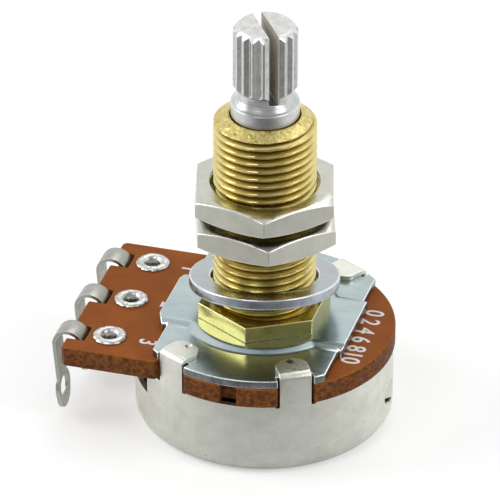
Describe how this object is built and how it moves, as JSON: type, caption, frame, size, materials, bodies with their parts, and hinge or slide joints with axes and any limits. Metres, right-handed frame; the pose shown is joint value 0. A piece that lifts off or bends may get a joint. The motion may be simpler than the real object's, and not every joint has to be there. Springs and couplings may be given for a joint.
{
  "type": "rotary potentiometer",
  "caption": "Panel-mount rotary potentiometer: split knurled shaft, long threaded bushing, loose hexagon nuts and washer, phenolic wafer with riveted solder lugs, drawn can with folded tabs.",
  "frame": {"origin": "centre of the can's flat back face", "axes": "+Z along the shaft axis, from the can towards the knurled end; the solder lugs are on the -X side"},
  "size_m": [0.0304, 0.0244, 0.0406],
  "materials": {
    "can_steel": "matte tin plate",
    "phenolic": "satin brown laminate, darker cut edges",
    "zinc_plate": "bluish zinc plate, satin",
    "brass": "turned and threaded, satin",
    "shaft_aluminium": "turned, bright",
    "nickel": "nickel plate, satin",
    "washer_steel": "zinc plate, satin, bright rim",
    "tinned_lug": "dull tin plate",
    "rivet_tin": "bright tin plate",
    "carbon": "matte carbon film",
    "collector_metal": "silvered",
    "rotor_moulding": "dark moulding",
    "spring_bronze": "spring bronze strip",
    "ring_steel": "spring steel",
    "fibre": "fibre sheet"
  },
  "bodies": {
    "housing": {"can_cover": "can_steel", "wafer": "phenolic", "front_plate": "zinc_plate", "bushing": "brass", "flat_washer": "washer_steel", "lug_1": "tinned_lug", "lug_2": "tinned_lug", "lug_3": "tinned_lug", "rivet_1": "rivet_tin", "rivet_2": "rivet_tin", "rivet_3": "rivet_tin", "carbon_track": "carbon", "collector_ring": "collector_metal", "thrust_washer": "fibre"},
    "spindle": {"shaft": "shaft_aluminium", "rotor": "rotor_moulding", "wiper_spring": "spring_bronze", "retaining_ring": "ring_steel"},
    "depth_nut": {"lower_nut": "nickel"},
    "clamp_nut": {"upper_nut": "nickel"}
  },
  "joints": [
    {"name": "shaft_turn", "type": "hinge", "parent": "housing", "child": "spindle", "pos_m": [0, 0, 0.02], "axis": [0, 0, 1], "range_deg": [-150, 150]},
    {"name": "depth_nut_travel", "type": "slide", "parent": "housing", "child": "depth_nut", "axis": [0, 0, 1], "range_m": [-0.00317, 0]},
    {"name": "clamp_nut_travel", "type": "slide", "parent": "housing", "child": "clamp_nut", "axis": [0, 0, 1], "range_m": [0, 0.00476]}
  ]
}
